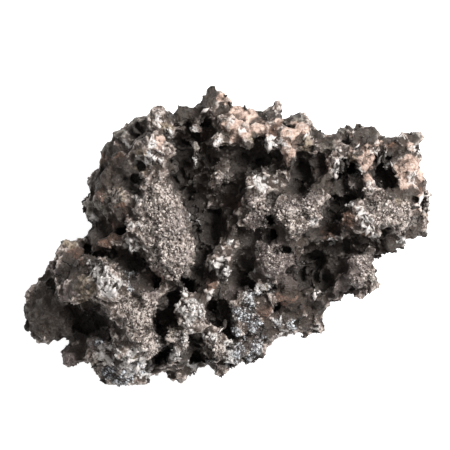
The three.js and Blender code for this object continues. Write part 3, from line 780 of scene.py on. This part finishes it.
seats = wandering(body_spots)
sway = seats[:, 0] - body_spots[:, 0] / spread(body_spots[:, 2])
height = body_spots[:, 2] + RAGGED * WANDER * sway
for name in PLACES:
    lowest = LOWEST_CLAY if name == "clay" else LOWEST
    marks[name] = np.clip((height - lowest) / THINNING, 0, 1) * share_of(name, seats)
for name, share in marks.items():
    noted(crust.data, name, share)
print("covered:", {name: round(float(marks[name].mean()), 2) for name in PLACES})

# %% [markdown]
# ## The druse
# What coats the crust is a druse: countless crystals under a millimetre long, each a
# double pyramid with flat faces that catch the light one by one. One crystal is modelled
# by hand: an open cone of four sides, whose rim is drawn down to a second tip. Extrude
# lists its new faces in no fixed order, so they are put in one.

# %% One crystal
UPPER_POINT = 1.4
LOWER_POINT = 1.1

bpy.ops.object.select_all(action="DESELECT")
bpy.ops.mesh.primitive_cone_add(vertices=4, radius1=1, radius2=0, depth=UPPER_POINT,
                                end_fill_type="NOTHING")
gem = bpy.context.active_object
bpy.ops.object.mode_set(mode="EDIT")
bpy.ops.mesh.select_all(action="SELECT")
bpy.ops.mesh.region_to_loop()
bpy.ops.mesh.extrude_region_move(TRANSFORM_OT_translate={"value": (0, 0, -LOWER_POINT)})
bpy.ops.mesh.merge(type="CENTER")
bpy.ops.mesh.select_all(action="SELECT")
bpy.ops.mesh.normals_make_consistent(inside=False)
bpy.ops.object.mode_set(mode="OBJECT")
gem_form = spots_of(gem.data) * MM
gem_faces = np.array([np.roll(face, -face.argmin()) for face in corners_of(gem.data)])
gem_faces = gem_faces[np.lexsort(gem_faces.T)]
bpy.data.objects.remove(gem)
print("a crystal has", len(gem_faces), "faces")

# %% [markdown]
# Crystals grow anywhere on the skin. A triangle is drawn by its area and by how well
# crystals grow on it, and then a point on it.

# %% Seats for the crystals
triangles = corners_of(crust.data)
first, second, third = (body_spots[triangles[:, k]] for k in range(3))
across = np.cross(second - first, third - first)
area = lengths(across)[:, 0] / 2
outward = across / np.maximum(lengths(across), 1e-9)
on_face = {name: share[triangles].mean(axis=1) for name, share in marks.items()}
print("the skin is", round(float(area.sum())), "mm2 large")


def drawn_seats(count, weight):
    chance = area * weight
    chosen = rng.choice(len(triangles), count, p=chance / chance.sum())
    u, v = rng.random((2, count))
    beyond = u + v > 1
    u[beyond], v[beyond] = 1 - u[beyond], 1 - v[beyond]
    along = u[:, None] * (second - first)[chosen]
    return chosen, first[chosen] + along + v[:, None] * (third - first)[chosen]


# %% [markdown]
# All copies of the crystal go into one mesh at once. Tens of thousands of objects would be
# slow to make and slow to load. Each copy has its own width, thickness, height and axes,
# and none reaches under the flat back.

# %% Many crystals in one mesh
LOWEST_TIP = 0.05


def copied(seats, axes, sizes):
    steps = [gem_form[None, :, k, None] * (sizes[k][:, None] * axes[k])[:, None, :]
             for k in range(3)]
    spots = not_below((seats[:, None, :] + sum(steps)).reshape(-1, 3), LOWEST_TIP)
    firsts = len(gem_form) * np.arange(len(seats))
    return spots, (gem_faces[None] + firsts[:, None, None]).reshape(-1, 3)


def grown(name, seats, axes, sizes, values):
    spots, faces = copied(seats, axes, sizes)
    mesh = bpy.data.meshes.new(name)
    mesh.vertices.add(len(spots))
    put_spots(mesh, spots)
    mesh.loops.add(faces.size)
    mesh.loops.foreach_set("vertex_index", faces.astype(np.int32).ravel())
    mesh.polygons.add(len(faces))
    mesh.polygons.foreach_set("loop_start", np.arange(0, faces.size, 3, dtype=np.int32))
    mesh.update(calc_edges=True)
    for key, value in values.items():
        noted(mesh, key, np.repeat(value, len(gem_form)))
    print(name, "has", len(seats), "crystals")
    return as_object(name, mesh)


# %% [markdown]
# A crystal leans away from the skin by chance, and is sunk into it by a share of its
# height, so that it looks grown and not strewn. Small ones are the most common. Each also
# takes over the growths of its seat and gets a tone of its own.

# %% Seed crystals over the skin
def axes_along(way, beside):
    way = way / lengths(way)
    side = np.cross(way, beside)
    side = side / lengths(side)
    return side, np.cross(way, side), way


def seeded(name, count, weight, widths, heights, lean, sink, thinnest):
    chosen, seats = drawn_seats(count, weight)
    way = outward[chosen] + lean * rng.normal(size=(count, 3))
    axes = axes_along(way, rng.normal(size=(count, 3)))
    wide = widths[0] + (widths[1] - widths[0]) * rng.random(count) ** 2
    thick = wide * (thinnest + (1 - thinnest) * rng.random(count) ** 2)
    tall = wide * rng.uniform(*heights, count)
    values = {key: share[chosen] for key, share in on_face.items()}
    values["tone"] = rng.random(count)
    return grown(name, seats - sink * tall[:, None] * axes[2], axes, (wide, thick, tall), values)


# %% [markdown]
# Fine crystals grow nearly everywhere, but little on clay, on stains and on the dark spots
# of painted shade. Coarse ones grow on the drusy lobes, where they stand at all angles like
# heaped chips. Others glitter in the blue-grey coat and tip the pale one. None grow at the
# foot, and few in the hollows.

# %% The four kinds of druse
BARE_FOOT = 0.5
FOOT_FADE = 1.5
IN_HOLLOWS = 0.2

above = np.clip((first[:, 2] - BARE_FOOT) / FOOT_FADE, 0, 1)
above = above * (IN_HOLLOWS + (1 - IN_HOLLOWS) * on_face["open"])
stain_and_shade = np.maximum.reduce([on_face[name] for name in ("rust", "dark", "olive")])
bare = (1 - 0.95 * on_face["clay"]) * (1 - 0.55 * stain_and_shade)
plain = above * bare * (1 - 0.8 * on_face["blue"]) * (1 - 0.6 * on_face["druse"])
drusy = above * on_face["druse"] * (1 - 0.5 * stain_and_shade) + 0.04 * plain
blue, pale = above * on_face["blue"], above * on_face["pale"]
druse = [
    seeded("druse_fine", 18_000, plain, widths=(0.14, 0.36), heights=(0.7, 1.3),
           lean=0.5, sink=0.3, thinnest=0.3),
    seeded("druse_coarse", 11_000, drusy, widths=(0.28, 0.6), heights=(0.8, 1.2),
           lean=0.8, sink=0.1, thinnest=0.2),
    seeded("glitter", 3_600, blue, widths=(0.24, 0.56), heights=(0.7, 1.3),
           lean=0.8, sink=0.15, thinnest=0.3),
    seeded("pale_tips", 1_200, pale, widths=(0.4, 0.8), heights=(0.8, 1.4),
           lean=0.8, sink=0.3, thinnest=0.3),
]

# %% [markdown]
# A few crystals are much larger: pale blades and single points, a millimetre or more long.
# They are set one by one as (x, y, half length, half width, turn), as the eye sees them,
# and each lies where a line from the eye meets the crust.

# %% Where the large blades lie
BLADES = [
    (-18.2, 23.4, 2.2, 0.8, 75), (-16.4, 27.4, 1.3, 0.6, 110), (-17, 19, 1.2, 0.6, 40),
    (-20.8, -2.6, 1.3, 0.7, 20), (-22.4, 2.4, 1.5, 0.8, 100), (-1.6, 23.4, 1.3, 0.7, 60),
    (-2.6, 22.8, 1, 0.5, 150), (11, 22.6, 1.6, 0.8, 80), (12, 24, 1.2, 0.6, 30),
    (7.2, 14.4, 1.5, 0.7, 50), (8.8, 12.6, 1.6, 0.7, 125), (6.6, 12.2, 1.2, 0.6, 20),
    (27, 15.4, 1.3, 0.7, 100), (27.2, 18, 1.4, 0.6, 80), (38.3, 19.4, 1.9, 0.5, 65),
    (41, 17.2, 2.1, 0.5, 115), (36.4, 21.4, 1.5, 0.6, 120), (34.8, 4.4, 1.6, 0.8, 130),
    (35.2, 2, 1.4, 0.7, 70), (33, 7.2, 1.2, 0.5, 150), (22, -13.8, 1.4, 0.7, 90),
    (22.6, -14, 1.2, 0.5, 20), (-3.6, -14.2, 1.8, 0.8, 60), (-10.4, -14, 1.5, 0.8, 140),
    (-11, -16.6, 1.4, 0.7, 95), (-7.6, -18, 1.8, 0.8, 75), (-1.2, -23.2, 2, 0.5, 40),
    (-3, -6.6, 1.6, 0.7, 70), (1.6, -1.4, 1.4, 0.7, 45), (-0.6, -3, 1.2, 0.6, 120),
    (-28.4, -11, 1.6, 0.9, 100), (-27, -13, 1.3, 0.8, 60), (-30.4, -8, 1.2, 0.7, 30),
    (44, 24, 1.2, 0.5, 120), (4.4, 26, 1.3, 0.7, 50), (-4.4, 31, 1.2, 0.6, 30),
    (19.8, 24.6, 1.3, 0.6, 70), (32.6, 22, 1.3, 0.6, 60), (26.2, -1.6, 1.1, 0.5, 10),
    (-21.4, -31.6, 1.5, 0.8, 80),
]
print("there are", len(BLADES), "blades to set")

# %% [markdown]
# A blade is the same crystal, only longer and half as thick as it is wide. Its axis lies
# along its turn and lifts a little from the crust.

# %% Set the large blades
BLADE_LIFT = 0.5
BLADE_THICKNESS = 0.5

eye = Vector((0, 0, EYE * MM))
found, rows = [], []
for row in BLADES:
    aim = Vector((row[0], row[1], 0)) * spread(0) * MM
    hit = body_tree.ray_cast(eye, aim - eye)[0]
    if hit is not None:
        found.append(np.array(hit) / MM)
        rows.append(row)
length, width, turn = np.array(rows).T[2:]
turn = np.radians(turn)
way = np.stack([np.cos(turn), np.sin(turn), np.full(len(turn), BLADE_LIFT)], axis=1)
values = {name: np.zeros(len(rows)) for name in marks}
for name in ("pale", "open", "tip", "edge", "tone"):
    values[name] = np.ones(len(rows))
druse.append(grown("large_blades", np.array(found), axes_along(way, (0, 0, 1)),
                   (width, BLADE_THICKNESS * width, length), values))
print("in all", sum(len(piece.data.polygons) for piece in druse), "crystal faces")

# %% [markdown]
# ## Finishes
# The crust and its crystals are one mineral with other things on it, so they share one
# colour recipe. Shader maths is easier to read as arithmetic. This class wraps a node's
# output, and each operator adds the Math node that does it.

# %% Arithmetic on shader values
class Value:
    def __init__(self, tree, socket):
        self.tree = tree
        self.socket = socket

    def math(self, operation, *terms):
        node = self.tree.nodes.new("ShaderNodeMath")
        node.operation = operation
        for place, term in enumerate(terms):
            if isinstance(term, Value):
                self.tree.links.new(term.socket, node.inputs[place])
            else:
                node.inputs[place].default_value = term
        return Value(self.tree, node.outputs[0])

    def __add__(self, other):
        return self.math("ADD", self, other)

    def __radd__(self, other):
        return self.math("ADD", other, self)

    def __sub__(self, other):
        return self.math("SUBTRACT", self, other)

    def __rsub__(self, other):
        return self.math("SUBTRACT", other, self)

    def __mul__(self, other):
        return self.math("MULTIPLY", self, other)

    def __rmul__(self, other):
        return self.math("MULTIPLY", other, self)


# %% [markdown]
# A recipe holds one material. One method adds any other node: its type, its settings and
# its sockets. The patterns read Object coordinates, so they stay on the stone as it turns.

# %% A recipe for one material
class Recipe:
    def __init__(self, name):
        self.material = bpy.data.materials.new(name)
        self.material.use_nodes = True
        self.tree = self.material.node_tree
        self.shader = self.tree.nodes["Principled BSDF"]

    def fill(self, node, sockets):
        for key, value in sockets.items():
            if isinstance(value, Value):
                self.tree.links.new(value.socket, node.inputs[key])
            elif isinstance(value, tuple):
                node.inputs[key].default_value = (*value, 1)
            else:
                node.inputs[key].default_value = value

    def node(self, kind, settings, sockets, output=0):
        made = self.tree.nodes.new(kind)
        for name, value in settings.items():
            setattr(made, name, value)
        self.fill(made, sockets)
        return Value(self.tree, made.outputs[output])

    def attribute(self, name):
        return self.node("ShaderNodeAttribute", {"attribute_name": name}, {}, "Fac")

    def place(self):
        return self.node("ShaderNodeTexCoord", {}, {}, "Object")

    def grain(self, size, detail=3.0):
        sockets = {"Vector": self.place(), "Scale": 1 / (size * MM), "Detail": detail,
                   "Roughness": 0.6}
        return self.node("ShaderNodeTexNoise", {}, sockets, "Fac")

    def cells(self, size):
        sockets = {"Vector": self.place(), "Scale": 1 / (size * MM)}
        return self.node("ShaderNodeTexVoronoi", {}, sockets, "Distance")

    def between(self, value, low, high):
        sockets = {"Value": value, "From Min": low, "From Max": high}
        return self.node("ShaderNodeMapRange", {"interpolation_type": "SMOOTHSTEP"}, sockets)

    def mixed(self, share, first, second):
        sockets = {0: share, 6: first, 7: second}
        return self.node("ShaderNodeMix", {"data_type": "RGBA"}, sockets, 2)


# %% [markdown]
# The colours, as red, green and blue, stand for brown descloizite, dark where it is thick,
# with its gaps partly painted shade, pinkish clay, tan and rusty iron stains, a pale coat, a
# blue-grey one, and the painted shade in the hollows over the dirt that sits there. They
# were tuned by how the whole looks under the lamp, not measured.

# %% Colours
# The dark of the gaps, creases and pits is partly painted shade.
SHADED_GAP = (0.045, 0.032, 0.025)
DRUSE = (0.195, 0.153, 0.131)
DRUSE_LIGHT = (0.465, 0.411, 0.376)
CLAY = (0.30, 0.205, 0.163)
CLAY_PALE = (0.52, 0.392, 0.328)
TAN = (0.22, 0.170, 0.112)
PALE = (0.52, 0.497, 0.48)
RUST = (0.105, 0.052, 0.032)
OLIVE = (0.105, 0.102, 0.085)
MAUVE = (0.125, 0.098, 0.092)
# The dark spots are partly painted shade.
BLACK = (0.025, 0.019, 0.015)
BLUE_DARK = (0.040, 0.042, 0.048)
BLUE_LIGHT = (0.37, 0.385, 0.40)
BLUE_FACES = (0.52, 0.54, 0.57)
# The dark of the hollows is painted shade over some dirt.
DIRT_AND_SHADE = (0.036, 0.030, 0.026)


# %% [markdown]
# Each growth starts from the share noted on the mesh. Noise frays its edge, as a real stain
# frays along cracks and knobs.

# %% Frayed edges
EDGE_SOFTNESS = 0.22
FRAY = 0.9


def edged(recipe, name, size=1.1):
    share = recipe.attribute(name) + recipe.grain(size, 4) * FRAY - FRAY / 2
    return recipe.between(share, 0.5 - EDGE_SOFTNESS, 0.5 + EDGE_SOFTNESS)


# %% [markdown]
# The ground is dark in the gaps and brown on what stands out: painted shade in the gaps,
# over dark mineral. Pale flecks lie on it at random and more on its edges, where they are
# a painted highlight.

# %% The ground of the crust
FLECK_SIZE = 0.75
KNOB_GRAIN = 2.4
FLECK_STRENGTH = 0.8


# Painted highlight: the flecks lighten the edges that stand out, besides lying at random.
def fleck_and_highlight_of(recipe):
    edge = recipe.attribute("edge")
    return recipe.between(recipe.grain(FLECK_SIZE) + edge * 0.4, 0.7, 0.9)


def ground(recipe, fleck_and_highlight):
    raised = recipe.attribute("tip") * 0.45 + recipe.attribute("edge") * 0.35
    raised = recipe.between(raised + recipe.grain(KNOB_GRAIN, 4) * 0.5, 0.42, 0.82)
    colour = recipe.mixed(raised, SHADED_GAP, DRUSE)
    return recipe.mixed(fleck_and_highlight * FLECK_STRENGTH, colour, DRUSE_LIGHT)


# %% [markdown]
# Stains, and the dark spots of painted shade, go over the ground one after the other. The
# blue-grey coat is dark between its crystals and bright on them, with the same flecks as the
# ground, so it is partly a painted highlight on its edges.

# %% The stains and the spots of painted shade
BLUE_FRAY_SIZE = 1.6
BLUE_STRENGTH = 0.85
STAINS_AND_SHADE = [("rust", 1.1, 0.88, RUST), ("olive", 1.1, 0.6, OLIVE), ("mauve", 1.6, 0.7, MAUVE),
          ("tan", 1.1, 0.7, TAN), ("dark", 1.6, 0.9, BLACK)]


def stained_and_shaded_over(recipe, colour, fleck_and_highlight):
    for name, size, strength, overlay in STAINS_AND_SHADE:
        colour = recipe.mixed(edged(recipe, name, size) * strength, colour, overlay)
    blue = recipe.mixed(fleck_and_highlight, BLUE_DARK, BLUE_LIGHT)
    return recipe.mixed(edged(recipe, "blue", BLUE_FRAY_SIZE) * BLUE_STRENGTH, colour, blue)


# %% [markdown]
# Clay lies between the tips, which stay bare crystal, and is a little lighter on the edges,
# a painted highlight. The pale coat lies on the edges that stand out, and is partly a
# painted highlight there. The creases between knobs are painted darker, towards the dark
# ground whatever is on it: painted shade over the dark mineral.

# %% Clay, the pale coat and the creases
PALE_STRENGTH = 0.8
CREASE_SHADE_STRENGTH = 0.7


def coated(recipe, colour):
    tip, edge = recipe.attribute("tip"), recipe.attribute("edge")
    lightness = recipe.between(recipe.grain(1.2, 4) + edge * 0.3, 0.5, 0.85)
    clay = recipe.mixed(lightness, CLAY, CLAY_PALE)
    off_tips = recipe.between(tip + recipe.grain(1.6, 2) * 0.3, 1.12, 0.92)
    colour = recipe.mixed(edged(recipe, "clay", 1.5) * off_tips, colour, clay)
    on_edges = recipe.between(edge + recipe.grain(0.7) * 0.7, 0.42, 0.85)
    colour = recipe.mixed(edged(recipe, "pale", 1.0) * on_edges * PALE_STRENGTH, colour, PALE)
    # Painted shade in the creases between knobs.
    crease_shade = recipe.between(edge * 0.6 + tip * 0.4 + recipe.grain(0.6) * 0.3, 0.3, 0.62)
    return recipe.mixed(crease_shade * CREASE_SHADE_STRENGTH + (1 - CREASE_SHADE_STRENGTH), SHADED_GAP, colour)


def crust_colour(recipe):
    fleck_and_highlight = fleck_and_highlight_of(recipe)
    return coated(recipe, stained_and_shaded_over(recipe, ground(recipe, fleck_and_highlight), fleck_and_highlight))


# Painted shade: the less of the sky a point sees, the darker its colour, over some dark dirt in
# the hollows.
def shade_and_dirt_in_hollows(recipe, colour):
    unshaded = recipe.between(recipe.attribute("open"), 0.05, 0.95)
    return recipe.mixed(unshaded, DIRT_AND_SHADE, colour)


# %% [markdown]
# Close up, the druse is a boxwork: light ridges of crystals round dark pits under a
# millimetre wide. The body shows it as colour and as relief, under the modelled crystals.
# The dark of the pits is partly painted shade.

# %% The body's material
PIT_SIZE = 0.85
PIT_STRENGTH = 0.6
BOXWORK_STRENGTH = 0.8
MAUVE_FILM = 0.45
RELIEF = 0.45 * MM
BODY_ROUGHNESS = 0.6
BODY_SPECULAR = 0.3


def body_finish():
    recipe = Recipe("crust")
    drusy = recipe.attribute("druse")
    ridge = recipe.between(recipe.cells(PIT_SIZE) + recipe.grain(0.45) * 0.9, 0.72, 1.1)
    ridge_colour = recipe.mixed(recipe.between(recipe.grain(2.6), 0.35, 0.65),
                                DRUSE, DRUSE_LIGHT)
    boxwork = recipe.mixed(ridge, SHADED_GAP, ridge_colour)
    colour = recipe.mixed(drusy * BOXWORK_STRENGTH, crust_colour(recipe), boxwork)
    colour = recipe.mixed(recipe.attribute("mauve") * MAUVE_FILM, colour, MAUVE)
    covered = recipe.attribute("clay") + recipe.attribute("pale")
    unpitted = recipe.between(ridge + covered, 0.0, 1.0)
    colour = recipe.mixed(unpitted * PIT_STRENGTH + (1 - PIT_STRENGTH), SHADED_GAP, colour)
    height = recipe.grain(0.35, 4) * 0.5 + ridge * (drusy * 0.6 + 0.4)
    bump = recipe.node("ShaderNodeBump", {},
                       {"Height": height, "Strength": 1.0, "Distance": RELIEF})
    recipe.fill(recipe.shader, {"Base Color": shade_and_dirt_in_hollows(recipe, colour), "Normal": bump,
                                "Roughness": BODY_ROUGHNESS,
                                "Specular IOR Level": BODY_SPECULAR})
    return recipe.material


# %% [markdown]
# The crystals take the colour of the crust they stand on, and each has a tone of its own,
# from dark to light, but hardly a light one where the crust is dark. Their flat faces are
# smoother than the crust and glint.

# %% The crystals' material
CRYSTAL_ROUGHNESS = 0.42
UNDER_DARK = 0.75


def crystal_finish():
    recipe = Recipe("crystals")
    tone = recipe.attribute("tone")
    light = recipe.between(tone, 0.1, 1.0) * (recipe.attribute("druse") * 0.45 + 0.42)
    light = light * (1 - recipe.attribute("dark") * UNDER_DARK)
    colour = recipe.mixed(light, crust_colour(recipe), DRUSE_LIGHT)
    bluish = edged(recipe, "blue", BLUE_FRAY_SIZE) * recipe.between(tone, 0.55, 0.95)
    colour = recipe.mixed(bluish, colour, BLUE_FACES)
    recipe.fill(recipe.shader, {"Base Color": shade_and_dirt_in_hollows(recipe, colour),
                                "Roughness": CRYSTAL_ROUGHNESS})
    return recipe.material


crust.data.materials.clear()
crust.data.materials.append(body_finish())
crystal_material = crystal_finish()
for piece in druse:
    piece.data.materials.append(crystal_material)
print("materials:", [crust.data.materials[0].name, crystal_material.name])

# %% [markdown]
# ## One specimen
# The crystals grew from the body and never move on it, so the body takes the plain solid's
# place and all of it rides on the one root.

# %% Tie the pieces to the frame
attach(crust, "root")
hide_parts("descloizite")
for piece in druse:
    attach(piece, "root")

# %% [markdown]
# ## The floor and the light
# The specimen lies on a pale floor. A faint glow keeps the floor near white where the
# shadow falls, as on a light table.

# %% A pale floor
FLOOR_SIDE = 3.0
FLOOR_WHITE = 0.6
FLOOR_GLOW = 0.85

bpy.ops.object.select_all(action="DESELECT")
bpy.ops.mesh.primitive_plane_add(size=FLOOR_SIDE)
floor = bpy.context.active_object
floor.name = "floor"
floor_finish = bpy.data.materials.new("pale floor")
floor_finish.use_nodes = True
floor_shader = floor_finish.node_tree.nodes["Principled BSDF"]
floor_shader.inputs["Base Color"].default_value = (FLOOR_WHITE, FLOOR_WHITE, FLOOR_WHITE, 1)
floor_shader.inputs["Emission Color"].default_value = (1, 1, 1, 1)
floor_shader.inputs["Emission Strength"].default_value = FLOOR_GLOW
floor.data.materials.append(floor_finish)
print("the floor is", FLOOR_SIDE, "m wide")

# %% [markdown]
# One large soft lamp stands to the upper right, high enough to reach into the hollows and
# low enough to model the lobes. The sky fills the shadows evenly.

# %% A soft lamp and a plain sky
LAMP_PLACE = (0.392, 0.245, 0.591)
LAMP_SIZE = 0.30
LAMP_POWER = 11.9
SKY_STRENGTH = 0.50
AIM = (0, 0, 0.015)

lamp_data = bpy.data.lights.new("lamp", "AREA")
lamp_data.energy = LAMP_POWER
lamp_data.size = LAMP_SIZE
lamp = bpy.data.objects.new("lamp", lamp_data)
bpy.context.scene.collection.objects.link(lamp)
lamp.location = LAMP_PLACE
lamp.rotation_euler = (Vector(AIM) - Vector(LAMP_PLACE)).to_track_quat("-Z", "Y").to_euler()

sky = bpy.data.worlds.new("sky")
sky.use_nodes = True
sky_shader = sky.node_tree.nodes["Background"]
sky_shader.inputs["Color"].default_value = (1, 1, 1, 1)
sky_shader.inputs["Strength"].default_value = SKY_STRENGTH
bpy.context.scene.world = sky
print("one lamp of", LAMP_POWER, "W and a sky of", SKY_STRENGTH)

# %% [markdown]
# ## The camera
# The camera looks straight down at the face, from far enough to show it almost without
# perspective. Its lens is worked out from the width one pixel covers on the specimen.

# %% Look straight down
CAMERA_HEIGHT = EYE * MM
FACE_HEIGHT = 20 * MM
PIXEL = 0.2485 * MM
PIXELS_WIDE = 450
SENSOR = 36.0
CAMERA_SHIFT = 2.7 * MM
CLIP_END = 5

camera_data = bpy.data.cameras.new("camera")
camera_data.sensor_width = SENSOR
camera_data.lens = SENSOR * (CAMERA_HEIGHT - FACE_HEIGHT) / (PIXEL * PIXELS_WIDE)
camera_data.clip_end = CLIP_END
camera = bpy.data.objects.new("camera", camera_data)
bpy.context.scene.collection.objects.link(camera)
camera.location = (0, CAMERA_SHIFT, CAMERA_HEIGHT)
bpy.context.scene.camera = camera
bpy.context.scene.view_settings.view_transform = "Standard"
print("the lens is", round(camera_data.lens), "mm")
